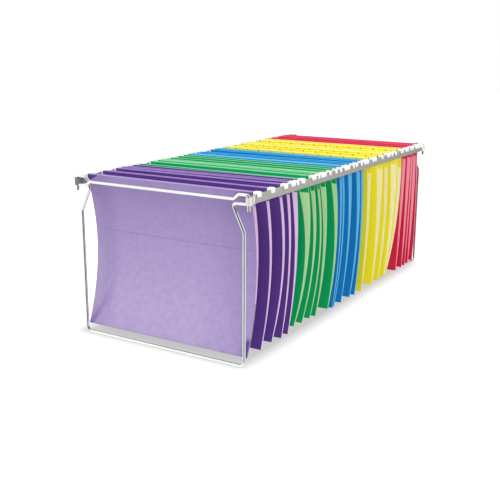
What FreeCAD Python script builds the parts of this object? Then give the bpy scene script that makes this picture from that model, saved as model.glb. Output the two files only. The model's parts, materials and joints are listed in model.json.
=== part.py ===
# Hanging file rack: a wire and rail frame for letter-size files, with 25 hanging folders on it.
# Frame of the part: +Z up, +X right, front end towards -Y, origin on the floor under the middle.
import FreeCAD, Part
import math
import os

V = FreeCAD.Vector
doc = FreeCAD.newDocument("hanging_file_rack")

# The driving dimensions, in millimetres.
SIZES = [
    ("wire_plane", 340.5, "middle of an end frame's wires, from the middle of the rack"),
    ("wire_diameter", 4.8, "wire of both end frames"),
    ("leg_half", 148.0, "middle of a leg, from the middle of the rack"),
    ("leg_top", 200.0, "height where a leg starts to slant inwards"),
    ("leg_corner", 8.0, "bend at the foot of a leg"),
    ("leg_run_height", 240.3, "short level run that ties a leg to its bracket"),
    ("leg_run_end", 153.0, "tip of that run, beside the pin"),
    ("leg_hairpin", 4.0, "bend between the slant and the level run"),
    ("cross_height", 245.9, "middle of the top wire"),
    ("shoulder_height", 253.3, "ends of the top wire, raised over the brackets"),
    ("waist_half", 131.0, "where the wires step towards the middle"),
    ("shoulder_half", 139.0, "where the top wire reaches its raised ends"),
    ("wire_bend", 5.5, "bends of the top wire"),
    ("pin_bend", 4.0, "bend where the top wire turns down as a pin"),
    ("pin_tip", 231.1, "lower end of a downturned pin"),
    ("rail_centre", 155.5, "middle of a rail, from the middle of the rack"),
    ("rail_thick", 2.0, "flat bar of the rail"),
    ("rail_bottom", 239.3, "lower edge of the rail"),
    ("rail_depth", 12.7, "height of the bar"),
    ("rail_setback", 6.0, "rail end, from the end frame's plane"),
    ("knuckle_outer", 4.6, "outer radius of a bracket's loop"),
    ("strap_thick", 1.2, "strap of the bracket"),
    ("strap_width", 11.6, "height of the strap"),
    ("leaf_start", 8.5, "where the strap meets the rail"),
    ("leaf_end", 12.0, "free end of the strap's leaves"),
    ("notch_radius", 2.5, "notch in the loop for the leg's level run"),
    ("rod_thick", 1.0, "flat strip of a folder's rod"),
    ("rod_bottom", 246.3, "lower edge of the strip"),
    ("rod_top", 254.4, "upper edge of the strip"),
    ("rod_half", 160.0, "end of the strip, from the middle of the rack"),
    ("hook_half", 2.0, "half of the notch that sits over the rail"),
    ("hook_ceiling", 252.1, "top of that notch"),
    ("hook_lip", 248.2, "lower end of the lip outside the rail"),
    ("coat", 0.6, "white coating round the strip's ends"),
    ("coat_top", 255.7, "top of the coating"),
    ("coat_start", 151.0, "inner end of the coating"),
    ("sheet_width", 298.0, "folder sheet, across the rack"),
    ("card", 0.5, "thickness of the folder sheet"),
    ("pocket_half", 1.1, "half of the fold over a rod, outside"),
    ("pocket_bottom", 244.0, "lower end of the fold over a rod"),
    ("sheet_top", 255.0, "top of the fold over a rod"),
    ("tail_start", 239.0, "where the glued tail lies flat on its flap"),
    ("tail_end", 227.0, "lower edge of the glued tail"),
    ("long_tail_end", 217.0, "lower edge of the one longer tail"),
    ("foot_low", 9.2, "where a flap that hangs straight enters the bottom fold"),
    ("foot_half", 0.8, "outer radius of the bottom fold"),
]

# Where each folder hangs, in millimetres from the front end frame: its front rod, its rear rod
# and its bottom fold, how far its front and its rear flap belly towards the back, and how much
# nearer the front its left end hangs than its right one.
FOLDERS = {
    "purple_1": (19.2, 24.2, 7, 19.2, 21, 0.5),
    "purple_2": (57, 62.5, 46, 18.5, 20.5, 2.5),
    "purple_3": (95, 100.5, 77, 22.5, 26, 9),
    "purple_4": (118, 125, 107, 17.3, 20, 19),
    "purple_5": (134, 150, 127, 19, 19, 20),
    "green_1": (154, 185, 147, 31.5, 30.5, 6),
    "green_2": (191.3, 205, 174, 27, 28, 7),
    "green_3": (215, 220.5, 201, 26, 28.5, 12),
    "green_4": (226, 245, 222, 22.5, 24.5, 9),
    "green_5": (266, 284, 268, 22, 24, 8),
    "blue_1": (301, 306.5, 286, 15, 17, 13),
    "blue_2": (310.5, 316, 291, 17.5, 20, 13),
    "blue_3": (334, 348, 319, 16.5, 18, 19),
    "blue_4": (367, 380, 356, 15.5, 18.5, 4),
    "blue_5": (388, 394, 378, 11, 14, 5),
    "yellow_1": (417, 428, 408, 8.5, 12, 2),
    "yellow_2": (458, 485, 456, 9, 13, 8),
    "yellow_3": (493, 507, 485, 13, 18.5, 9),
    "yellow_4": (523, 554, 513, 14.5, 20, 10),
    "yellow_5": (558, 578, 519, 20.5, 25.5, 9),
    "red_1": (586, 603, 576, 3, 6.5, 7),
    "red_2": (612, 631, 607, 1, 5, 9),
    "red_3": (635, 642, 624, 1.5, 5, 9),
    "red_4": (646, 657, 642, 0.5, 10, 9),
    "red_5": (661, 666, 667, 7, 8.5, 6),
}
LONG_TAIL_FOLDER = "yellow_5"
PLACES = ("front_rod", "rear_rod", "fold", "front_belly", "rear_belly", "lead")

sheet = doc.addObject("Spreadsheet::Sheet", "sizes")
for row, (alias, value, meaning) in enumerate(SIZES, start=1):
    sheet.set("A%d" % row, meaning)
    sheet.set("B%d" % row, str(value))
    sheet.setAlias("B%d" % row, alias)
for row, (folder, places) in enumerate(FOLDERS.items(), start=1):
    sheet.set("D%d" % row, folder)
    for column, place, value in zip("EFGHIJ", PLACES, places):
        sheet.set("%s%d" % (column, row), str(value))
        sheet.setAlias("%s%d" % (column, row), "%s_%s" % (folder, place))
doc.recompute()


def size(alias):
    """The value of one cell of the sheet, in millimetres."""
    return float(getattr(sheet, alias))


def new_body(label):
    """A PartDesign body, with its origin planes by name."""
    body = doc.addObject("PartDesign::Body", label)
    body.Label = label
    planes = {feature.Role: feature for feature in body.Origin.OriginFeatures}
    return body, planes


def new_sketch(body, plane, name, shapes, offset=0.0):
    """A sketch on one of the body's origin planes, moved along the plane's normal."""
    sketch = body.newObject("Sketcher::SketchObject", body.Label + "_" + name)
    sketch.AttachmentSupport = (plane, "")
    sketch.MapMode = "FlatFace"
    sketch.AttachmentOffset = FreeCAD.Placement(V(0, 0, offset), FreeCAD.Rotation())
    for shape in shapes:
        sketch.addGeometry(shape)
    return sketch


def pad(body, sketch, length):
    """A pad whose length is bound to the sheet, half on each side of the sketch."""
    feature = body.newObject("PartDesign::Pad", body.Label + "_pad")
    feature.Profile = sketch
    feature.SideType = "Symmetric"
    feature.setExpression("Length", length)
    return feature


def polygon(points):
    """Straight sides through the points, closed."""
    corners = [V(x, y, 0) for x, y in points]
    return [Part.LineSegment(a, b) for a, b in zip(corners, corners[1:] + corners[:1])]


def bent_run(points, bends):
    """Straight runs through the points, with a tangent arc at each inner point."""
    corners = [V(x, y, 0) for x, y in points]
    pieces = []
    start = corners[0]
    for before, corner, after, radius in zip(corners, corners[1:], corners[2:], bends):
        back = (before - corner).normalize()
        ahead = (after - corner).normalize()
        half_angle = back.getAngle(ahead) / 2
        arc_start = corner + back * (radius / math.tan(half_angle))
        arc_end = corner + ahead * (radius / math.tan(half_angle))
        to_centre = (back + ahead).normalize()
        arc_middle = corner + to_centre * (radius / math.sin(half_angle) - radius)
        pieces.append(Part.LineSegment(start, arc_start))
        pieces.append(Part.Arc(arc_start, arc_middle, arc_end))
        start = arc_end
    pieces.append(Part.LineSegment(start, corners[-1]))
    return pieces


def add_wire(label, half_path, half_bends, end, start_plane):
    """A bent wire in an end frame's plane, swept from its right tip over to its left one."""
    body, planes = new_body(label)
    mirrored = [(-x, z) for x, z in reversed(half_path)]
    path = bent_run(half_path + mirrored, half_bends + half_bends[::-1])
    spine = new_sketch(body, planes["XZ_Plane"], "path", path)
    tip_x, tip_z = half_path[0]
    if start_plane == "XY_Plane":
        centre = V(tip_x, 0, 0)
        offset = tip_z
    else:
        centre = V(0, tip_z, 0)
        offset = tip_x
    circle = Part.Circle(centre, V(0, 0, 1), size("wire_diameter") / 2)
    section = new_sketch(body, planes[start_plane], "section", [circle], offset)
    pipe = body.newObject("PartDesign::AdditivePipe", label + "_pipe")
    pipe.Profile = section
    pipe.Spine = (spine, [])
    body.setExpression("Placement.Base.y", "%d * sizes.wire_plane" % end)
    return body


def top_wire(label, end):
    """The cross wire of an end frame, whose ends turn down as pins through the brackets."""
    pin = (size("rail_centre"), size("pin_tip"))
    shoulder = (size("rail_centre"), size("shoulder_height"))
    step = (size("shoulder_half"), size("shoulder_height"))
    waist = (size("waist_half"), size("cross_height"))
    bends = [size("pin_bend"), size("wire_bend"), size("wire_bend")]
    return add_wire(label, [pin, shoulder, step, waist], bends, end, "XY_Plane")


def leg_wire(label, end):
    """The U-shaped wire that the rack stands on, hooked into the brackets at its two tips."""
    wire_radius = size("wire_diameter") / 2
    leg = size("leg_half")
    run = size("leg_run_height")
    tip = (size("leg_run_end"), run)
    waist = (size("waist_half") - wire_radius, run)
    knee = (leg, size("leg_top"))
    corner = (leg, wire_radius)
    bends = [size("leg_hairpin"), size("leg_corner"), size("leg_corner")]
    return add_wire(label, [tip, waist, knee, corner], bends, end, "YZ_Plane")


def rail(label, side):
    """A flat steel bar on edge, which the folders' hooks slide along."""
    bar = doc.addObject("Part::Box", label)
    bar.Label = label
    bar.setExpression("Length", "sizes.rail_thick")
    bar.setExpression("Width", "2 * (sizes.wire_plane - sizes.rail_setback)")
    bar.setExpression("Height", "sizes.rail_depth")
    bar.setExpression("Placement.Base.x", "%d * sizes.rail_centre - sizes.rail_thick / 2" % side)
    bar.setExpression("Placement.Base.y", "sizes.rail_setback - sizes.wire_plane")
    bar.setExpression("Placement.Base.z", "sizes.rail_bottom")
    return bar


def bracket(label, side, end):
    """A strap looped round the top wire's pin and closed on both faces of the rail."""
    outer = size("knuckle_outer")
    thick = size("strap_thick")
    inner = outer - thick
    face = size("rail_thick") / 2
    start = size("leaf_start")
    tangent = math.atan2(face, start) + math.acos(inner / math.hypot(start, face))
    slant_x = math.cos(tangent)
    slant_y = math.sin(tangent)
    shoulder = (outer - (face + thick) * slant_y) / slant_x

    def place(along, across):
        return V(across, -end * along, 0)

    inner_tangent = (inner * slant_x, inner * slant_y)
    outer_tangent = (outer * slant_x, outer * slant_y)
    inner_side = [inner_tangent, (start, face), (size("leaf_end"), face)]
    outer_side = [(size("leaf_end"), face + thick), (shoulder, face + thick), outer_tangent]
    half = [place(*point) for point in inner_side + outer_side]
    other_half = [place(along, -across) for along, across in inner_side + outer_side]
    outline = [Part.LineSegment(a, b) for a, b in zip(half, half[1:])]
    outline += [Part.LineSegment(a, b) for a, b in zip(other_half, other_half[1:])]
    outline.append(Part.Arc(half[0], place(-inner, 0), other_half[0]))
    outline.append(Part.Arc(half[-1], place(-outer, 0), other_half[-1]))

    body, planes = new_body(label)
    strap = new_sketch(body, planes["XY_Plane"], "plan", outline, size("strap_width") / 2)
    whole = pad(body, strap, "sizes.strap_width")
    run_height = size("leg_run_height") - size("rail_bottom")
    hole = Part.Circle(V(0, run_height, 0), V(0, 0, 1), size("notch_radius"))
    notch_sketch = new_sketch(body, planes["YZ_Plane"], "notch_outline", [hole])
    notch = body.newObject("PartDesign::Pocket", label + "_notch")
    notch.Profile = notch_sketch
    notch.Reversed = side < 0
    notch.setExpression("Length", "sizes.knuckle_outer")
    body.setExpression("Placement.Base.x", "%d * sizes.rail_centre" % side)
    body.setExpression("Placement.Base.y", "%d * sizes.wire_plane" % end)
    body.setExpression("Placement.Base.z", "sizes.rail_bottom")
    doc.recompute()
    if notch.Shape.Volume > whole.Shape.Volume - 1:
        raise RuntimeError(label + ": the notch cuts nothing")
    return body


def rod_outline(bottom, top, tip, hook_half, ceiling, lip):
    """The side view of a rod from end to end, with a notch over each rail."""
    centre = size("rail_centre")
    right = [
        (centre - hook_half, bottom),
        (centre - hook_half, ceiling),
        (centre + hook_half, ceiling),
        (centre + hook_half, lip),
        (tip, lip),
        (tip, top),
    ]
    left = [(-x, z) for x, z in reversed(right)]
    return polygon(right + left)


def rod_strip():
    """The bare steel strip of a rod."""
    coat = size("coat")
    body, planes = new_body("rod_strip")
    outline = rod_outline(
        size("rod_bottom"),
        size("rod_top"),
        size("rod_half"),
        size("hook_half") + coat,
        size("hook_ceiling") + coat,
        size("hook_lip") + coat,
    )
    pad(body, new_sketch(body, planes["XZ_Plane"], "outline", outline), "sizes.rod_thick")
    return body


def coated_tip(strip):
    """The white coating on the right end of a rod, hollow where the strip fills it."""
    coat = size("coat")
    centre = size("rail_centre")
    hook_half = size("hook_half")
    bottom = size("rod_bottom") - coat
    ceiling = size("hook_ceiling")
    lip = size("hook_lip")
    tip = size("rod_half") + coat
    body, planes = new_body("tip_blank")
    outline = polygon([
        (size("coat_start"), bottom),
        (centre - hook_half, bottom),
        (centre - hook_half, ceiling),
        (centre + hook_half, ceiling),
        (centre + hook_half, lip),
        (tip, lip),
        (tip, size("coat_top")),
        (size("coat_start"), size("coat_top")),
    ])
    blank = new_sketch(body, planes["XZ_Plane"], "outline", outline)
    pad(body, blank, "sizes.rod_thick + 2 * sizes.coat")
    shell = doc.addObject("Part::Cut", "coated_tip")
    shell.Base = body
    shell.Tool = strip
    return shell


def link(target, name, turn=0):
    """One more of the same piece, turned about the vertical."""
    copy = doc.addObject("App::Link", name)
    copy.LinkedObject = target
    copy.Placement = FreeCAD.Placement(V(0, 0, 0), FreeCAD.Rotation(V(0, 0, 1), turn))
    return copy


def hang(piece, folder):
    """Bring a folder's piece to its place on the rails, with its left end turned forwards."""
    turn = "asin(sizes.%s_lead / (2 * sizes.rail_centre))" % folder
    across = "(sizes.%s_rear_rod - sizes.%s_front_rod) / 2 * sin(%s)" % (folder, folder, turn)
    along = "sizes.%s_front_rod - sizes.wire_plane - sizes.rail_centre * sin(%s)" % (folder, turn)
    place = "placement(vector(%s; %s; 0); rotation(vector(0; 0; 1); %s))" % (across, along, turn)
    piece.setExpression("Placement", place)


def folder_rods(folder, strip, tip):
    """The two rods of a folder: each one a strip with a coated tip at both ends."""
    pieces = []
    for place in ("front", "rear"):
        for piece, target, turn in (("strip", strip, 0), ("right", tip, 0), ("left", tip, 180)):
            copy = link(target, "%s_%s_%s" % (folder, place, piece), turn)
            if place == "rear":
                spread = "sizes.%s_rear_rod - sizes.%s_front_rod" % (folder, folder)
                copy.setExpression("Placement.Base.y", spread)
            pieces.append(copy)
    rods = doc.addObject("Part::Compound", folder + "_rods")
    rods.Label = folder + "_rods"
    rods.Links = pieces
    hang(rods, folder)
    return rods


class Flap:
    """One flap of a folder, in section: a round belly from the fold over its rod to the foot.

    side is -1 for the front flap and +1 for the rear one. The flap's middle line runs through
    three points, and each face is the same arc moved along Y.
    """

    def __init__(self, rod, fold, belly, side, low):
        self.side = side
        self.rod = rod
        self.top = size("pocket_bottom")
        self.low = low
        card = size("card")
        top_y = rod + side * (size("pocket_half") - card / 2)
        low_y = fold + side * (size("foot_half") - card / 2)
        middle = V((top_y + low_y) / 2 + belly, (self.top + self.low) / 2, 0)
        circle = Part.Circle(V(top_y, self.top, 0), middle, V(low_y, self.low, 0))
        self.centre = circle.Center
        self.radius = circle.Radius

    def point(self, height, shift):
        """A point of the flap at a height, moved outwards from the folder's inside."""
        drop = height - self.centre.y
        reach = math.sqrt(self.radius ** 2 - drop ** 2)
        return V(self.centre.x + reach + self.side * shift, height, 0)

    def face(self, start, end, shift):
        """The arc of one face between two heights."""
        middle = self.point((start + end) / 2, shift)
        return Part.Arc(self.point(start, shift), middle, self.point(end, shift))

    def section(self, tail_end):
        """The flap's outline: outer face, fold over the rod, glued tail and inner face."""
        card = size("card")
        half = size("pocket_half")
        crown = size("sheet_top")
        spring = crown - half + card / 2
        outer = self.rod + self.side * half
        inner = self.rod - self.side * half
        tail = -1.5 * card
        tail_start = size("tail_start")
        over_rod = Part.Arc(V(outer, spring, 0), V(self.rod, crown, 0), V(inner, spring, 0))
        return [
            self.face(self.low, self.top, card / 2),
            Part.LineSegment(V(outer, self.top, 0), V(outer, spring, 0)),
            over_rod,
            Part.LineSegment(V(inner, spring, 0), V(inner, self.top, 0)),
            Part.LineSegment(V(inner, self.top, 0), self.point(tail_start, tail)),
            self.face(tail_start, tail_end, tail),
            Part.LineSegment(self.point(tail_end, tail), self.point(tail_end, -card / 2)),
            self.face(tail_end, self.low, -card / 2),
        ]

    def pocket(self):
        """The hollow of the fold, a little wider than the rod and closed below it."""
        card = size("card")
        half = size("pocket_half") - card
        crown = size("sheet_top") - card
        closing = size("tail_start") + 2 * card
        end = self.point(closing, -card / 2 - card / 10)
        return polygon([
            (self.rod - half, crown),
            (self.rod + half, crown),
            (self.rod + half, self.top),
            (end.x, end.y),
            (self.rod - half, self.top),
        ])


def foot_height(folder):
    """Where a folder's flaps enter its bottom fold: the rounder they hang, the higher it is."""
    belly = (size(folder + "_front_belly") + size(folder + "_rear_belly")) / 2
    straight = size("pocket_bottom") - size("foot_low")
    return size("foot_low") + 8 / 3 * belly ** 2 / straight


def folder_sheet(folder):
    """A folder's card sheet, glued round both rods and folded at the bottom."""
    front_rod = size(folder + "_front_rod")
    spread = size(folder + "_rear_rod") - front_rod
    fold = size(folder + "_fold") - front_rod
    tail_end = size("long_tail_end" if folder == LONG_TAIL_FOLDER else "tail_end")
    low = foot_height(folder)
    front = Flap(0, fold, size(folder + "_front_belly"), -1, low)
    rear = Flap(spread, fold, size(folder + "_rear_belly"), 1, low)
    card = size("card")
    outer_fold = V(fold, low - size("foot_half"), 0)
    inner_fold = V(fold, low - size("foot_half") + card, 0)
    outline = front.section(tail_end) + rear.section(tail_end)
    outline += [
        Part.Arc(front.point(low, card / 2), outer_fold, rear.point(low, card / 2)),
        Part.Arc(front.point(low, -card / 2), inner_fold, rear.point(low, -card / 2)),
    ]
    outline += front.pocket() + rear.pocket()
    body, planes = new_body(folder + "_sheet")
    pad(body, new_sketch(body, planes["YZ_Plane"], "section", outline), "sizes.sheet_width")
    hang(body, folder)
    return body


nodes = []
for side, side_name in ((-1, "left"), (1, "right")):
    nodes.append(rail(side_name + "_rail", side))
for end, end_name in ((-1, "front"), (1, "back")):
    nodes.append(top_wire(end_name + "_top_wire", end))
    nodes.append(leg_wire(end_name + "_leg_wire", end))
    for side, side_name in ((-1, "left"), (1, "right")):
        nodes.append(bracket("%s_%s_bracket" % (end_name, side_name), side, end))
bare_strip = rod_strip()
white_tip = coated_tip(bare_strip)
for folder in FOLDERS:
    nodes.append(folder_sheet(folder))
    nodes.append(folder_rods(folder, bare_strip, white_tip))
doc.recompute()

for item in doc.Objects:
    if "Invalid" in item.State or "Error" in item.State:
        raise RuntimeError("%s did not build: %s" % (item.Label, item.State))
os.makedirs("parts", exist_ok=True)
for node in nodes:
    if node.Shape.isNull() or not node.Shape.isValid():
        raise RuntimeError(node.Label + " has no valid shape")
    node.Shape.exportStep("parts/%s.step" % node.Label)
print(len(nodes), "nodes written")
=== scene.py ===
import bmesh
import bpy
import json
import math
import random
from mathutils import Matrix, Vector

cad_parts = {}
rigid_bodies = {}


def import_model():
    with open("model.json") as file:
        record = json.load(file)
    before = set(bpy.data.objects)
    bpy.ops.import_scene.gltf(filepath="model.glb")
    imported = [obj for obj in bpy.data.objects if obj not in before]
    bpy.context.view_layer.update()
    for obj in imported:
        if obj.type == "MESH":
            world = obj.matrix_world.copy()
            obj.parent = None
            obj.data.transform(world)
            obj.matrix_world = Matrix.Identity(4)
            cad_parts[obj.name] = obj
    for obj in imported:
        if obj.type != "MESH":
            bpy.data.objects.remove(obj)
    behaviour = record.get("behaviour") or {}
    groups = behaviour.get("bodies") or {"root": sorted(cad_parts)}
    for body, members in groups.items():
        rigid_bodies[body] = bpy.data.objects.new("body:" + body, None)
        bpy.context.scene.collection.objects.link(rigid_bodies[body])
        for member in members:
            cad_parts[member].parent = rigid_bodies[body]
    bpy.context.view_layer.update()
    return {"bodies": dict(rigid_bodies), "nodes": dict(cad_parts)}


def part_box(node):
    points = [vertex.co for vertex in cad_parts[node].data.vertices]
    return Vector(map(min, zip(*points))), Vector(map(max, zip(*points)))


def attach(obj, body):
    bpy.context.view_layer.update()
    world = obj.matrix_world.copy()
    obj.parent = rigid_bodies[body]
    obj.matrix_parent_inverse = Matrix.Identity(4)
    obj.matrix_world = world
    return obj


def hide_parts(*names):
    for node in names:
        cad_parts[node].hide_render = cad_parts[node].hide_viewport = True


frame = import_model()
mm = 0.001


# ---- Camera ----------------------------------------------------------------------------------
# It stands off the rack's front right corner at about eye level for a person at a desk, and
# looks back along the rails and down on the folders' tops.

camera_data = bpy.data.cameras.new("camera")
camera_data.sensor_width = 36
camera_data.lens = 60.0
camera = bpy.data.objects.new("camera", camera_data)
bpy.context.scene.collection.objects.link(camera)
camera_place = Vector((0.7363, -1.2929, 0.4610))
camera_heading = math.radians(31.29)
camera_dip = math.radians(14.29)
camera_roll = math.radians(0.19)
camera.matrix_world = (
    Matrix.Translation(camera_place)
    @ Matrix.Rotation(camera_heading, 4, "Z")
    @ Matrix.Rotation(math.pi / 2 - camera_dip, 4, "X")
    @ Matrix.Rotation(camera_roll, 4, "Z")
)
bpy.context.scene.camera = camera
bpy.context.scene.view_settings.view_transform = "Standard"


# ---- Studio ----------------------------------------------------------------------------------
# A white floor and a white surround. Soft lamps stand at the front left and the right. The
# floor's colour is painted darker under the rack and a little round it: a painted shadow, added
# to the shadow that the lamps cast.

def paint(red, green, blue):
    """A colour given as 0 to 255 screen values, as the shaders need it."""
    return (*(((part / 255 + 0.055) / 1.055) ** 2.4 for part in (red, green, blue)), 1)


class Amount:
    """A shader socket that takes part in arithmetic: each operator adds its Math node."""

    def __init__(self, finish, socket):
        self.finish = finish
        self.socket = socket

    def math(self, operation, first, second):
        return self.finish.node("ShaderNodeMath", {"operation": operation}, {0: first, 1: second})

    def __add__(self, other):
        return self.math("ADD", self, other)

    def __sub__(self, other):
        return self.math("SUBTRACT", self, other)

    def __rsub__(self, other):
        return self.math("SUBTRACT", other, self)

    def __mul__(self, other):
        return self.math("MULTIPLY", self, other)

    def __pow__(self, other):
        return self.math("POWER", self, other)

    def __abs__(self):
        return self.finish.node("ShaderNodeMath", {"operation": "ABSOLUTE"}, {0: self})

    __radd__ = __add__
    __rmul__ = __mul__

    def at_least(self, other):
        return self.math("MAXIMUM", self, other)

    def clamped(self):
        return self.math("MINIMUM", self.at_least(0.0), 1.0)

    def between(self, low, high):
        """0 at the low value, 1 at the high one, and even between them."""
        return ((self - low) * (1 / (high - low))).clamped()


class Finish:
    """A material, or the surround, under construction. One method makes any of its nodes."""

    def __init__(self, name, owner=None):
        if owner is None:
            owner = bpy.data.materials.new(name)
            owner.use_nodes = True
        self.material = owner
        self.tree = owner.node_tree
        self.tree.nodes.clear()

    def node(self, kind, settings=None, sockets=None, output=0):
        """A node with its settings made first, then its sockets filled or linked."""
        made = self.tree.nodes.new(kind)
        for setting, value in (settings or {}).items():
            if setting == "stops":
                self.set_stops(made.color_ramp, value)
            else:
                setattr(made, setting, value)
        for socket, value in (sockets or {}).items():
            if isinstance(value, Amount):
                self.tree.links.new(value.socket, made.inputs[socket])
            else:
                made.inputs[socket].default_value = value
        return Amount(self, made.outputs[output])

    def set_stops(self, ramp, stops):
        while len(ramp.elements) < len(stops):
            ramp.elements.new(0.5)
        for element, (place, colour) in zip(ramp.elements, stops):
            element.position = place
            element.color = colour

    def place(self, axis=None):
        """Where the surface is, in the rack's own frame: a vector, or one of its axes."""
        where = self.node("ShaderNodeTexCoord", output="Object")
        if axis is None:
            return where
        return self.node("ShaderNodeSeparateXYZ", None, {0: where}, output=axis)

    def noise(self, scale, detail=2.0, stretch=(1.0, 1.0, 1.0)):
        """Smooth noise about 0.5, with its grains stretched along the given axes."""
        turned = self.node("ShaderNodeMapping", None, {"Vector": self.place(), "Scale": stretch})
        sockets = {"Vector": turned, "Scale": scale, "Detail": detail}
        return self.node("ShaderNodeTexNoise", None, sockets)

    def mix(self, amount, first, second):
        """One colour turning into another."""
        sockets = {"Factor": amount, 6: first, 7: second}
        return self.node("ShaderNodeMix", {"data_type": "RGBA"}, sockets, output=2)

    def bump(self, height, depth, strength=1.0):
        sockets = {"Height": height, "Distance": depth, "Strength": strength}
        return self.node("ShaderNodeBump", None, sockets)

    def surface(self, **sockets):
        """The closing shader. A socket's name is written with _ for its spaces."""
        named = {name.replace("_", " "): value for name, value in sockets.items()}
        shader = self.node("ShaderNodeBsdfPrincipled", None, named)
        self.node_output(shader)
        return self.material

    def node_output(self, shader):
        self.node_end("ShaderNodeOutputMaterial", shader)

    def node_end(self, kind, shader):
        end = self.tree.nodes.new(kind)
        self.tree.links.new(shader.socket, end.inputs["Surface"])


def grey(level):
    return (level, level, level, 1.0)


world = bpy.data.worlds.new("surround")
world.use_nodes = True
bpy.context.scene.world = world
surround = Finish("surround", world)
seen = surround.node("ShaderNodeLightPath", output="Is Camera Ray")
mirrored = surround.node("ShaderNodeLightPath", output="Is Glossy Ray")
soft = surround.node("ShaderNodeBackground", None, {"Color": grey(1.0), "Strength": 0.86})
way = surround.node("ShaderNodeTexCoord", output="Generated")
ahead = camera.matrix_world.to_3x3() @ Vector((0, 0, -1))
away = surround.node("ShaderNodeVectorMath", {"operation": "DOT_PRODUCT"}, {0: way, 1: ahead}, 1)
mirrored_room = [
    (0.0, grey(0.1)),
    (0.16, grey(0.16)),
    (0.26, grey(1.0)),
    (0.76, grey(1.0)),
    (0.85, grey(0.1)),
    (1.0, grey(0.05)),
]
band = surround.node("ShaderNodeValToRGB", {"stops": mirrored_room}, {"Fac": away * 0.5 + 0.5})
mirror_light = surround.node("ShaderNodeBackground", None, {"Color": band, "Strength": 1.15})
seen_light = surround.node("ShaderNodeBackground", None, {"Color": grey(1.0), "Strength": 1.0})
unseen = surround.node("ShaderNodeMixShader", None, {0: mirrored, 1: soft, 2: mirror_light})
whole = surround.node("ShaderNodeMixShader", None, {0: seen, 1: unseen, 2: seen_light})
surround.node_end("ShaderNodeOutputWorld", whole)

floor_mesh = bpy.data.meshes.new("floor")
floor_half = 6.0
floor_mesh.from_pydata(
    [(-floor_half, -floor_half, 0), (floor_half, -floor_half, 0),
     (floor_half, floor_half, 0), (-floor_half, floor_half, 0)],
    [],
    [(0, 1, 2, 3)],
)
floor = bpy.data.objects.new("floor", floor_mesh)
bpy.context.scene.collection.objects.link(floor)
floor_finish = Finish("floor_white")
floor_card = floor_finish.node("ShaderNodeBsdfDiffuse", None, {"Color": grey(0.78)})
# Painted shadow: the floor's colour and its glow are darker under the rack, and fade out within
# shade_reach round it.
right_inset = 20 * mm
left_inset = 3 * mm
end_inset = 9 * mm
shade_reach = 48 * mm
end_quickening = 1.15
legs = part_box("back_leg_wire")[1]
floor_x = floor_finish.place("X")
right_of = floor_x - (legs.x - right_inset)
left_of = (left_inset - legs.x) - floor_x
beside = right_of.at_least(left_of).at_least(0.0)
past_end = abs(floor_finish.place("Y")) - (legs.y - end_inset)
beyond = (past_end * end_quickening).at_least(0.0)
from_rack = (beside * beside + beyond * beyond) ** 0.5
away_from_rack = from_rack.between(0.0, shade_reach)
painted_shadow_card = floor_finish.mix(away_from_rack, grey(0.16), grey(0.6))
floor_lit = floor_finish.node("ShaderNodeBsdfDiffuse", None, {"Color": painted_shadow_card})
painted_shadow_glow = floor_finish.mix(away_from_rack, grey(0.51), grey(0.8))
floor_glow = floor_finish.node("ShaderNodeEmission", None, {"Color": painted_shadow_glow, "Strength": 1.0})
floor_seen = floor_finish.node("ShaderNodeAddShader", None, {0: floor_lit, 1: floor_glow})
floor_ray = floor_finish.node("ShaderNodeLightPath", output="Is Camera Ray")
floor_finish.node_output(
    floor_finish.node("ShaderNodeMixShader", None, {0: floor_ray, 1: floor_card, 2: floor_seen})
)
floor_mesh.materials.append(floor_finish.material)
floor.visible_glossy = False


def soft_lamp(name, place, target, width, power):
    """A square studio lamp that faces its target and leaves no highlight on bright metal."""
    data = bpy.data.lights.new(name, "AREA")
    data.size = width
    data.energy = power
    lamp = bpy.data.objects.new(name, data)
    lamp.location = place
    lamp.visible_glossy = False
    lamp.rotation_euler = (Vector(target) - Vector(place)).to_track_quat("-Z", "Y").to_euler()
    bpy.context.scene.collection.objects.link(lamp)


soft_lamp("key_lamp", (-0.9, -2.2, 2.2), (0.0, 0.0, 0.15), 1.4, 26)
soft_lamp("front_lamp", (2.0, -2.0, 1.0), (0.1, 0.0, 0.15), 1.2, 26)
soft_lamp("side_lamp", (2.4, -0.4, 1.2), (0.1, 0.1, 0.15), 1.2, 20)


# ---- Wires of the two end frames -------------------------------------------------------------
# Each end is two bent 4.8 mm steel wires, drawn and zinc-plated bright: a cross wire whose ends
# turn down through the corner brackets, and a U that the rack stands on.

def plated_wire():
    finish = Finish("plated_wire")
    cloud = finish.noise(60, 3)
    tone = finish.mix(cloud, paint(226, 226, 224), paint(246, 246, 244))
    return finish.surface(Base_Color=tone, Metallic=1.0, Roughness=0.08 + cloud * 0.08)


wire_finish = plated_wire()
for end in ("front", "back"):
    for kind in ("top_wire", "leg_wire"):
        wire = frame["nodes"]["%s_%s" % (end, kind)]
        wire.data.materials.clear()
        wire.data.materials.append(wire_finish)


# ---- Rails -----------------------------------------------------------------------------------
# Two flat steel bars on edge, 2 mm thick, with a satin grey coat. Their edges are rounded off,
# so that the folders' hooks slide on them.

def coated_bar():
    finish = Finish("coated_bar")
    grain = finish.noise(700, 4)
    # Scuffs along the top edge, where the hooks slide, show bare metal.
    top_band = finish.place("Z").between(250.4 * mm, 252.0 * mm)
    scuffs = finish.noise(45, 5, (1.0, 6.0, 1.0)).between(0.45, 0.7)
    coat = finish.mix(grain, paint(142, 141, 137), paint(160, 159, 154))
    bare = paint(226, 226, 222)
    return finish.surface(
        Base_Color=finish.mix(top_band * scuffs, coat, bare),
        Metallic=0.35 + top_band * 0.4,
        Roughness=0.42 + grain * 0.12,
        Normal=finish.bump(grain, 0.03 * mm, 0.5),
    )


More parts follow.
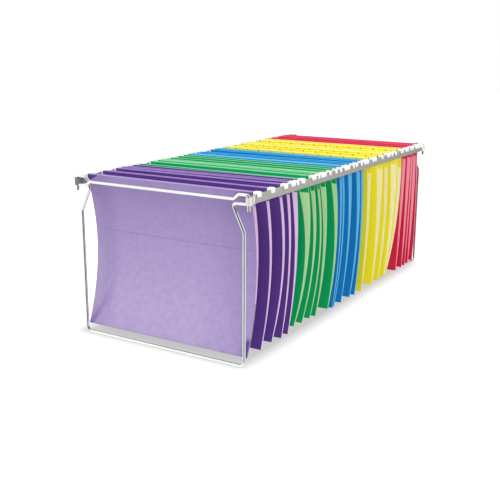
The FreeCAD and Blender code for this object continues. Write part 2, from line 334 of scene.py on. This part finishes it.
def box_mesh(name, low, high, round_off, steps):
    """A bar between two corners, with its edges rounded off."""
    shape = bmesh.new()
    bmesh.ops.create_cube(shape, size=1)
    for vertex in shape.verts:
        for axis in range(3):
            vertex.co[axis] = high[axis] if vertex.co[axis] > 0 else low[axis]
    bmesh.ops.bevel(
        shape, geom=shape.edges[:], offset=round_off, segments=steps, profile=0.5, affect="EDGES"
    )
    mesh = bpy.data.meshes.new(name)
    shape.to_mesh(mesh)
    shape.free()
    mesh.shade_smooth()
    return mesh


def show(name, mesh, finishes):
    """Puts a finished mesh in the scene, with its place in the mesh itself."""
    piece = bpy.data.objects.new(name, mesh)
    bpy.context.scene.collection.objects.link(piece)
    for finish in finishes:
        mesh.materials.append(finish)
    return piece


bar_edge = 0.45 * mm
rail_finish = coated_bar()
for side in ("left", "right"):
    node = side + "_rail"
    low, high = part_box(node)
    bar = show(side + "_rail_bar", box_mesh(node, low, high, bar_edge, 3), [rail_finish])
    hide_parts(node)
    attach(bar, "frame")


# ---- Corner brackets -------------------------------------------------------------------------
# A plated steel strap, looped round the pin of the cross wire, with its two leaves closed on the
# rail's faces. The left-hand ones have a painted dark reflection, darker towards the back.

def plated_strap():
    finish = Finish("plated_strap")
    cloud = finish.noise(120, 4)
    tone = finish.mix(cloud, paint(204, 204, 198), paint(232, 232, 228))
    # Painted dark reflection on the left-hand brackets, for the dark that their curved loops
    # mirror.
    on_left = finish.place("X").between(-140 * mm, -148 * mm)
    rearward = finish.place("Y").between(-2 * mm, 4 * mm)
    painted_dark_reflection = finish.mix(rearward, paint(140, 140, 136), paint(72, 72, 72))
    tone = finish.mix(on_left, tone, painted_dark_reflection)
    return finish.surface(
        Base_Color=tone,
        Metallic=0.55,
        Roughness=0.38 + cloud * 0.15,
        Normal=finish.bump(cloud, 0.02 * mm, 0.2),
    )


strap_finish = plated_strap()
for end in ("front", "back"):
    for side in ("left", "right"):
        strap = frame["nodes"]["%s_%s_bracket" % (end, side)]
        strap.data.materials.clear()
        strap.data.materials.append(strap_finish)


# ---- Folder sheets ---------------------------------------------------------------------------
# Each folder is one sheet of coloured card, printed deep outside and pale inside. It is folded
# at the bottom, and both upper edges are wrapped over a rod and glued down inside, so the outer
# colour shows there as a band. The yellow ones and the first green one show slits for index tabs.

card_thick = 0.36 * mm
pocket_half = 1.1 * mm
crown_height = 255.0 * mm
spring_height = crown_height - pocket_half
foot_above_fold = 1.3 * mm
flap_middle = 128.5 * mm
flap_top = 243.5 * mm
bend_start = 236.0 * mm
bend_end = 247.0 * mm
crown_steps = 8
fold_steps = 6
tail_ends = {
    "purple": 234.0 * mm,
    "green": 227.0 * mm,
    "blue": 235.0 * mm,
    "yellow": 226.0 * mm,
    "red": 231.0 * mm,
}
long_tail_end = 217.0 * mm
tail_depth = 1.6 * card_thick
tip_half = 1.1 * mm
score_height = 166.2 * mm
score_half = 3.0 * mm
slit_pitch = 25.4 * mm
slit_count = 11
slit_half = 0.9 * mm
slit_reach = 1.2 * pocket_half
slit_bottom = 250.4 * mm
slit_top = 253.4 * mm
between_slits = (0.27, 0.5, 0.73)
sheet_half = 149.0 * mm
sharp_turn = math.radians(50)
hair = 0.01 * mm


class Hanging:
    """How a folder hangs: a frame of its own, with x along its rods and y = 0 at the front one."""

    def __init__(self, folder):
        rods = [vertex.co for vertex in frame["nodes"][folder + "_rods"].data.vertices]
        right = max(rods, key=lambda corner: corner.x)
        left = min(rods, key=lambda corner: corner.y)
        turn = Matrix.Rotation(math.atan2(right.y - left.y, right.x - left.x), 4, "Z")
        middle = (right + left) / 2 + turn @ Vector((0, tip_half, 0))
        self.matrix = Matrix.Translation((middle.x, middle.y, 0)) @ turn
        self.inverse = self.matrix.inverted()
        self.rear_rod = max((self.inverse @ corner).y for corner in rods) - tip_half


def end_outline(node, hanging):
    """The edges of a CAD sheet's right-hand end, as pairs of (y, z) points."""
    mesh = frame["nodes"][node].data
    edges = []
    for face in mesh.polygons:
        if abs(face.normal.x) > 0.5:
            continue
        corners = [hanging.inverse @ mesh.vertices[i].co for i in face.vertices]
        at_end = [(c.y, c.z) for c in corners if c.x > sheet_half - hair]
        if len(at_end) == 2:
            edges.append(at_end)
    return edges


def crossings(edges, height):
    """Where the end outline crosses a height, from front to back."""
    found = []
    for (y1, z1), (y2, z2) in edges:
        if min(z1, z2) <= height < max(z1, z2):
            found.append(y1 + (y2 - y1) * (height - z1) / (z2 - z1))
    return sorted(found)


def arc_face(edges, which, low):
    """A flap's outer face as a function of height: the arc through three of its heights."""
    heights = (low, flap_middle, flap_top)
    a, b, c = (Vector((crossings(edges, z)[which], z)) for z in heights)
    chord = c - a
    across = Vector((chord.y, -chord.x)).normalized()
    bow = (b - a).dot(across)
    along = (b - a).dot(chord.normalized())
    radius = (along * (chord.length - along) + bow * bow) / (2 * bow)
    centre = (a + c) / 2
    half = chord.length / 2
    reach = math.sqrt(max(radius * radius - half * half, 0))
    centre = centre - across * math.copysign(reach, bow)
    sign = 1 if bow > 0 else -1
    return lambda z: centre.x + sign * math.sqrt(radius * radius - (z - centre.y) ** 2)


def smooth(amount):
    """0 up to 0, 1 from 1 on, and a soft turn at both."""
    amount = min(max(amount, 0.0), 1.0)
    return amount * amount * (3 - 2 * amount)


def steps(low, high, count):
    """Evenly spaced values from the low one on, without the high one."""
    return [low + (high - low) * i / count for i in range(count)]


def flap_line(face, foot, rod, side, tail):
    """The card's middle line in one flap, from the foot over the rod to the tail's edge."""
    half_card = card_thick / 2
    reach = pocket_half - half_card
    line = []
    heights = steps(foot, score_height - score_half, 22)
    heights += steps(score_height - score_half, score_height + score_half, 6)
    heights += steps(score_height + score_half, bend_start, 8)
    heights += steps(bend_start, bend_end, 5) + [bend_end, slit_bottom, slit_top]
    for z in heights:
        hung = smooth((z - bend_start) / (bend_end - bend_start))
        flap_y = face(z) - side * half_card
        line.append((flap_y + (rod + side * reach - flap_y) * hung, z))
    for step in range(crown_steps + 1):
        turn = math.pi * step / crown_steps
        line.append((rod + side * reach * math.cos(turn), spring_height + reach * math.sin(turn)))
    for z in [slit_top, slit_bottom, bend_end] + steps(bend_end - 2 * mm, tail, 8) + [tail]:
        hung = smooth((z - bend_start) / (bend_end - bend_start))
        tail_y = face(z) - side * tail_depth
        line.append((tail_y + (rod - side * reach - tail_y) * hung, z))
    return line


def sheet_line(node, hanging, tail):
    """The card's middle line in section, from the front tail's edge to the rear one's."""
    edges = end_outline(node, hanging)
    foot = min(z for edge in edges for y, z in edge) + foot_above_fold
    front = flap_line(arc_face(edges, 0, foot), foot, 0.0, -1, tail)
    rear = flap_line(arc_face(edges, -1, foot), foot, hanging.rear_rod, 1, tail)
    radius = (rear[0][0] - front[0][0]) / 2
    middle = (rear[0][0] + front[0][0]) / 2
    fold = []
    for step in range(1, fold_steps):
        turn = math.pi * step / fold_steps
        fold.append((middle - radius * math.cos(turn), foot - radius * math.sin(turn)))
    return front[::-1] + fold + rear, len(front), len(front) + len(fold)


def columns():
    """The lines across the sheet: both sides of every slit, and three between two slits."""
    lines = [-sheet_half, sheet_half]
    for k in range(slit_count):
        middle = (k - (slit_count - 1) / 2) * slit_pitch
        lines += [middle - slit_half, middle + slit_half]
        lines += [middle + slit_pitch * part for part in between_slits]
    first = -(slit_count - 1) / 2 * slit_pitch
    lines += [first - slit_pitch * part for part in between_slits]
    return sorted(x for x in lines if abs(x) <= sheet_half)


wave_depth = 0.9 * mm
wave_start = 25 * mm


def wave(draw):
    """How far the card gives inwards at a place, different for every flap."""
    ways = []
    for _ in range(3):
        ways.append((draw.uniform(0.6, 2.2), draw.uniform(0.3, 1.4), draw.uniform(0, 6.28)))
    curl = draw.uniform(0.0, 1.0) * mm

    def give(x, z):
        t = (z - wave_start) / (bend_start - wave_start)
        if not 0 < t < 1:
            return 0.0
        room = math.sin(math.pi * t) ** 1.5
        u = x / sheet_half
        sway = sum(math.sin(a * u * 2.4 + b * t * 5 + c) for a, b, c in ways) / 3
        return room * ((0.5 + 0.5 * sway) * wave_depth + curl * abs(u) ** 6)

    return give


outside_finish, inside_finish, edge_finish, painted_light_finish = range(4)


def skin_points(line, front_end, rear_start, xs, seed):
    """The corners of both skins, row by row along the line: the outer skin's, then the inner's."""
    draw = random.Random(seed)
    front_wave = wave(draw)
    rear_wave = wave(draw)
    points = []
    for skin in (1, -1):
        for i, (y, z) in enumerate(line):
            before = line[max(i - 1, 0)]
            after = line[min(i + 1, len(line) - 1)]
            along = Vector((after[0] - before[0], after[1] - before[1])).normalized()
            offset = Vector((along.y, -along.x)) * (skin * card_thick / 2)
            for x in xs:
                give = 0.0
                if i < front_end:
                    give = front_wave(x, z)
                elif i >= rear_start:
                    give = -rear_wave(x, z)
                points.append((x, y + offset.x + give, z + offset.y))
    return points


def card_cells(line, xs, slit_rods):
    """The cells between rows and columns that are card: all but the slits at the given rods."""
    cells = set()
    for i in range(len(line) - 1):
        low, high = sorted((line[i][1], line[i + 1][1]))
        in_slits = low > slit_bottom - hair and high < slit_top + hair
        ahead_of_rod = any(0 < rod - line[i][0] < slit_reach for rod in slit_rods)
        for j in range(len(xs) - 1):
            slit = in_slits and ahead_of_rod and xs[j + 1] - xs[j] < 2 * slit_half + hair
            if not slit:
                cells.add((i, j))
    return cells


def skin_faces(cells, rows, count):
    """The faces of both skins, closed along every cut edge, and the finish that each one has."""
    inner = rows * count
    sides = {(0, -1): (3, 0), (0, 1): (1, 2), (-1, 0): (0, 1), (1, 0): (2, 3)}
    faces = []
    kinds = []
    for i, j in sorted(cells):
        corner = i * count + j
        ring = [corner, corner + 1, corner + count + 1, corner + count]
        faces.append(ring[::-1])
        kinds.append(outside_finish)
        faces.append([inner + k for k in ring])
        kinds.append(inside_finish)
        for (di, dj), (p, q) in sides.items():
            if (i + di, j + dj) not in cells:
                a, b = ring[p], ring[q]
                faces.append([a, b, inner + b, inner + a])
                at_rim = not 0 <= i + di < rows - 1 or not 0 <= j + dj < count - 1
                kinds.append(edge_finish if at_rim else outside_finish)
    return faces, kinds


def sheet_mesh(name, node, hanging, tail, seed, slit_rods):
    """A folder's sheet: a skin outside and a skin inside, a card's thickness apart."""
    line, front_end, rear_start = sheet_line(node, hanging, tail)
    xs = columns()
    points = skin_points(line, front_end, rear_start, xs, seed)
    faces, kinds = skin_faces(card_cells(line, xs, slit_rods), len(line), len(xs))
    mesh = bpy.data.meshes.new(name)
    mesh.from_pydata(points, [], faces)
    mesh.polygons.foreach_set("material_index", kinds)
    shape = bmesh.new()
    shape.from_mesh(mesh)
    loose = [v for v in shape.verts if not v.link_faces]
    bmesh.ops.delete(shape, geom=loose, context="VERTS")
    shape.to_mesh(mesh)
    shape.free()
    mesh.transform(hanging.matrix)
    mesh.shade_smooth()
    mesh.set_sharp_from_angle(angle=sharp_turn)
    return mesh


def paper(finish, deep):
    """A card's own colour with its fibres and clouds, and the fibres for its relief."""
    fibre = finish.noise(520, 5, (1.0, 1.0, 1.8))
    cloud = finish.noise(14, 3)
    grain = (fibre.between(0.3, 0.7) * 0.7 + cloud * 0.3).clamped()
    dark = (*(part * 0.92 for part in deep[:3]), 1)
    pale = (*(min(part * 1.07, 1) for part in deep[:3]), 1)
    return finish.mix(grain, dark, pale), fibre


def card_finish(name, deep, crown_highlight):
    """Coloured card, with a painted highlight along the top of its fold over the rod."""
    finish = Finish(name)
    tone, fibre = paper(finish, deep)
    # Painted highlight: paler along the top of the fold over the rod.
    top_band = finish.place("Z").between(254.3 * mm, 254.8 * mm)
    tone = finish.mix(top_band, tone, crown_highlight)
    return finish.surface(
        Base_Color=tone,
        Specular_IOR_Level=0.2,
        Roughness=0.66 + fibre * 0.14,
        Normal=finish.bump(fibre, 0.08 * mm, 0.5),
    )


def painted_light_front_finish():
    """The first folder's front: a lighter lilac copy of the purple card, for the light that falls
    on it, and mottled. It has painted shade towards the top and the right, along the scored line,
    a soft diagonal fold and a band near the left end, beside the bracket and in two corners, and a
    painted highlight along the top of the fold over the rod. It also serves as painted shade low
    on the folder's inside.
    """
    finish = Finish("purple_front")
    # Painted light: a lighter lilac than the purple card's outside, for the light that falls on
    # this front.
    tone, fibre = paper(finish, paint(157, 142, 181))
    height = finish.place("Z")
    across = finish.place("X")
    mottle = finish.noise(110, 4).between(0.36, 0.64)
    # Painted shade: darker towards the top.
    shade_upwards = height.between(60 * mm, 250 * mm)
    # Painted shade: darker towards the right-hand end.
    shade_to_the_right = across.between(40 * mm, 150 * mm)
    # Painted shade along the scored line, fading out towards the left end.
    score_shade = abs(height - (score_height + 0.3 * mm)).between(1.5 * mm, 0.0)
    score_shade = score_shade * across.between(-128 * mm, -112 * mm)
    # Painted shade along a soft diagonal fold low on the left.
    crease_shade = abs(across + 145 * mm - (height - 14 * mm) * 0.5)
    crease_shade = crease_shade.between(9 * mm, 0.5 * mm) * height.between(80 * mm, 20 * mm)
    # Painted shade in a soft upright band near the left end, where the card bends.
    bend_shade = across.between(-141 * mm, -127 * mm) * across.between(-98 * mm, -116 * mm)
    # Painted shade at the top right, beside the bracket.
    shade_by_bracket = height.between(244 * mm, 247 * mm) * across.between(118 * mm, 140 * mm)
    # Painted shade in the lower right-hand corner.
    foot_corner_shade = height.between(42 * mm, 34 * mm) * across.between(141 * mm, 144 * mm)
    # Painted shadow: a dark wedge at the top left-hand corner.
    shaded_corner = across - height.between(243 * mm, 255 * mm) * (22 * mm)
    shaded_corner = shaded_corner.between(-148 * mm, -151 * mm)
    # Painted highlight along the top of the fold over the rod.
    highlit_crown = height.between(253.8 * mm, 254.6 * mm)
    for cover, colour in (
        (mottle * 0.32, paint(178, 165, 197)),
        (shade_upwards * 0.6, paint(126, 106, 160)),
        (shade_to_the_right * 0.35, paint(116, 96, 152)),
        (score_shade * 0.5, paint(120, 102, 156)),
        (crease_shade * 0.7, paint(104, 84, 148)),
        (bend_shade * 0.24, paint(122, 104, 158)),
        (shade_by_bracket * 0.75, paint(84, 66, 122)),
        (foot_corner_shade, paint(84, 60, 132)),
        (shaded_corner, paint(78, 56, 134)),
        (highlit_crown, paint(166, 146, 194)),
    ):
        tone = finish.mix(cover, tone, colour)
    return finish.surface(
        Base_Color=tone,
        Specular_IOR_Level=0.2,
        Roughness=0.7 + fibre * 0.14,
        Normal=finish.bump(fibre * 0.5 + mottle * 0.5, 0.16 * mm, 0.5),
    )


# Each colour's second tone is a painted highlight for the top of the fold over the rod.
card_colours = {
    "purple": {"outside": (90, 57, 138), "crown_highlight": (172, 150, 204), "inside": (232, 206, 234)},
    "green": {"outside": (0, 160, 92), "crown_highlight": (160, 222, 178), "inside": (186, 222, 172)},
    "blue": {"outside": (18, 124, 191), "crown_highlight": (96, 190, 228), "inside": (116, 198, 236)},
    "yellow": {"outside": (234, 224, 44), "crown_highlight": (246, 234, 146), "inside": (242, 236, 186)},
    "red": {"outside": (208, 34, 72), "crown_highlight": (218, 78, 104), "inside": (244, 160, 176)},
}
# Below this height the first folder's inside takes the darker front finish: painted shade.
shaded_inside_top = 90 * mm
painted_light_front = painted_light_front_finish()
sheet_finishes = {}
for colour, tones in card_colours.items():
    outside, crown_highlight, inside = (paint(*tones[part]) for part in ("outside", "crown_highlight", "inside"))
    sheet_finishes[colour] = [
        card_finish(colour + "_outside", outside, crown_highlight),
        card_finish(colour + "_inside", inside, crown_highlight),
        card_finish(colour + "_cut_edge", inside, inside),
    ]

folders = [body for body in frame["bodies"] if body != "frame"]
for seed, folder in enumerate(folders):
    colour = folder.split("_")[0]
    node = folder + "_sheet"
    tail = long_tail_end if folder == "yellow_5" else tail_ends[colour]
    hanging = Hanging(folder)
    slit_rods = []
    if folder == "green_1":
        slit_rods = [0.0]
    elif colour == "yellow":
        slit_rods = [0.0, hanging.rear_rod]
    mesh = sheet_mesh(folder + "_card", node, hanging, tail, seed, slit_rods)
    card = show(folder + "_card", mesh, sheet_finishes[colour])
    # Painted light: the first folder's outer front and the top of its fold take the lighter front
    # finish.
    if folder == "purple_1":
        mesh.materials.append(painted_light_front)
        for face in mesh.polygons:
            faces_front = face.normal.y < -0.5 or face.center.z > spring_height
            front = face.material_index == outside_finish and faces_front
            # Painted shade: the inside low down takes the darker front finish too.
            shaded_inside_foot = face.material_index == inside_finish and face.center.z < shaded_inside_top
            if front or shaded_inside_foot:
                face.material_index = painted_light_finish
    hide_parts(node)
    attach(card, folder)


# ---- Rods ------------------------------------------------------------------------------------
# Two steel strips for each folder, 1 mm thick and 8 mm deep. Each end is notched to sit over the
# rail, and is dipped in a thick white coat so that it slides quietly.

def rod_steel():
    finish = Finish("rod_steel")
    cloud = finish.noise(150, 3)
    tone = finish.mix(cloud, paint(48, 48, 48), paint(66, 66, 64))
    return finish.surface(Base_Color=tone, Metallic=0.4, Roughness=0.45 + cloud * 0.15)


def white_coat():
    finish = Finish("white_coat")
    cloud = finish.noise(220, 2)
    tone = finish.mix(cloud, paint(226, 226, 224), paint(246, 246, 244))
    return finish.surface(
        Base_Color=tone,
        Roughness=0.3 + cloud * 0.1,
        Normal=finish.bump(cloud, 0.05 * mm, 0.5),
    )


def plate_mesh(name, outline, thick, round_off, steps_round):
    """A flat plate cut to an outline in x and z, with its edges rounded off."""
    shape = bmesh.new()
    ring = [shape.verts.new((x, -thick / 2, z)) for x, z in outline]
    face = shape.faces.new(ring)
    grown = bmesh.ops.extrude_face_region(shape, geom=[face])
    moved = [item for item in grown["geom"] if isinstance(item, bmesh.types.BMVert)]
    bmesh.ops.translate(shape, verts=moved, vec=(0, thick, 0))
    bmesh.ops.recalc_face_normals(shape, faces=shape.faces[:])
    bmesh.ops.bevel(
        shape, geom=shape.edges[:], offset=round_off, segments=steps_round, profile=0.5,
        affect="EDGES",
    )
    mesh = bpy.data.meshes.new(name)
    shape.to_mesh(mesh)
    shape.free()
    mesh.shade_smooth()
    return mesh


rod_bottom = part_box("purple_1_rods")[0].z
rod_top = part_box("purple_1_rods")[1].z
rail_low, rail_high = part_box("right_rail")
rail_middle = (rail_low.x + rail_high.x) / 2
hook_half = 2.0 * mm
hook_top = rail_high.z + 0.1 * mm
lip_bottom = 248.2 * mm
coat_start = 151.0 * mm
coat_end = 160.6 * mm
tip_outline = [
    (coat_start, rod_bottom),
    (rail_middle - hook_half, rod_bottom),
    (rail_middle - hook_half, hook_top),
    (rail_middle + hook_half, hook_top),
    (rail_middle + hook_half, lip_bottom),
    (coat_end, lip_bottom),
    (coat_end, rod_top),
    (coat_start, rod_top),
]
tip_edge = 0.4 * mm
tip_plate = plate_mesh("tip", tip_outline, 2 * tip_half, tip_edge, 2)
tip_master = bpy.data.objects.new("tip_master", tip_plate)
strip_thick = 1 * mm
strip_edge = 0.15 * mm
strip_half = coat_start + 1 * mm
strip_low = rod_bottom + 0.6 * mm
strip_high = 254.4 * mm
strip_outline = [
    (-strip_half, strip_low),
    (strip_half, strip_low),
    (strip_half, strip_high),
    (-strip_half, strip_high),
]
strip_plate = plate_mesh("strip", strip_outline, strip_thick, strip_edge, 1)
strip_master = bpy.data.objects.new("strip_master", strip_plate)


def hanging_tree():
    """Sets one piece at the two places of a folder's rods, and turned about at the far end."""
    tree = bpy.data.node_groups.new("hang_on_rails", "GeometryNodeTree")
    for socket, kind in (
        ("Piece", "NodeSocketObject"),
        ("Front rod", "NodeSocketFloat"),
        ("Rear rod", "NodeSocketFloat"),
        ("Both ends", "NodeSocketBool"),
        ("Finish", "NodeSocketMaterial"),
    ):
        tree.interface.new_socket(socket, in_out="INPUT", socket_type=kind)
    tree.interface.new_socket("Geometry", in_out="OUTPUT", socket_type="NodeSocketGeometry")

    def node(kind, **settings):
        made = tree.nodes.new(kind)
        for setting, value in settings.items():
            setattr(made, setting, value)
        return made

    link = tree.links.new
    inputs = node("NodeGroupInput")
    place = node("ShaderNodeCombineXYZ")
    link(inputs.outputs["Front rod"], place.inputs["Y"])
    spread = node("ShaderNodeMath", operation="SUBTRACT")
    link(inputs.outputs["Rear rod"], spread.inputs[0])
    link(inputs.outputs["Front rod"], spread.inputs[1])
    offset = node("ShaderNodeCombineXYZ")
    link(spread.outputs[0], offset.inputs["Y"])
    line = node("GeometryNodeMeshLine", mode="OFFSET")
    line.inputs["Count"].default_value = 2
    link(place.outputs[0], line.inputs["Start Location"])
    link(offset.outputs[0], line.inputs["Offset"])
    piece = node("GeometryNodeObjectInfo")
    link(inputs.outputs["Piece"], piece.inputs["Object"])
    turned = node("GeometryNodeTransform")
    turned.inputs["Rotation"].default_value = (0, 0, math.pi)
    link(piece.outputs["Geometry"], turned.inputs["Geometry"])
    pair = node("GeometryNodeJoinGeometry")
    link(piece.outputs["Geometry"], pair.inputs[0])
    link(turned.outputs["Geometry"], pair.inputs[0])
    choice = node("GeometryNodeSwitch", input_type="GEOMETRY")
    link(inputs.outputs["Both ends"], choice.inputs["Switch"])
    link(piece.outputs["Geometry"], choice.inputs["False"])
    link(pair.outputs[0], choice.inputs["True"])
    hung = node("GeometryNodeInstanceOnPoints")
    link(line.outputs[0], hung.inputs["Points"])
    link(choice.outputs[0], hung.inputs["Instance"])
    real = node("GeometryNodeRealizeInstances")
    link(hung.outputs[0], real.inputs[0])
    coat = node("GeometryNodeSetMaterial")
    link(real.outputs[0], coat.inputs["Geometry"])
    link(inputs.outputs["Finish"], coat.inputs["Material"])
    output = node("NodeGroupOutput")
    link(coat.outputs[0], output.inputs[0])
    return tree


def grown_mesh(name, tree, values):
    """The plain mesh that a tree makes with the given inputs."""
    host = bpy.data.objects.new(name, bpy.data.meshes.new(name))
    bpy.context.scene.collection.objects.link(host)
    modifier = host.modifiers.new("tree", "NODES")
    modifier.node_group = tree
    sockets = {item.name: item.identifier for item in tree.interface.items_tree}
    for socket, value in values.items():
        modifier[sockets[socket]] = value
    graph = bpy.context.evaluated_depsgraph_get()
    mesh = bpy.data.meshes.new_from_object(host.evaluated_get(graph))
    bpy.data.objects.remove(host)
    mesh.name = name
    return mesh


hang_on_rails = hanging_tree()
rod_steel_finish = rod_steel()
white_coat_finish = white_coat()
for folder in folders:
    hanging = Hanging(folder)
    places = {"Front rod": 0.0, "Rear rod": hanging.rear_rod}
    for part, master, both_ends, finish, slot in (
        ("strips", strip_master, False, rod_steel_finish, "rod_steel"),
        ("tips", tip_master, True, white_coat_finish, "rod_tip_white"),
    ):
        values = {"Piece": master, "Both ends": both_ends, "Finish": finish, **places}
        mesh = grown_mesh("%s_%s" % (folder, part), hang_on_rails, values)
        mesh.transform(hanging.matrix)
        piece = show("%s_%s" % (folder, part), mesh, [])
        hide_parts(folder + "_rods")
        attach(piece, folder)
for master in (tip_master, strip_master):
    bpy.data.objects.remove(master)
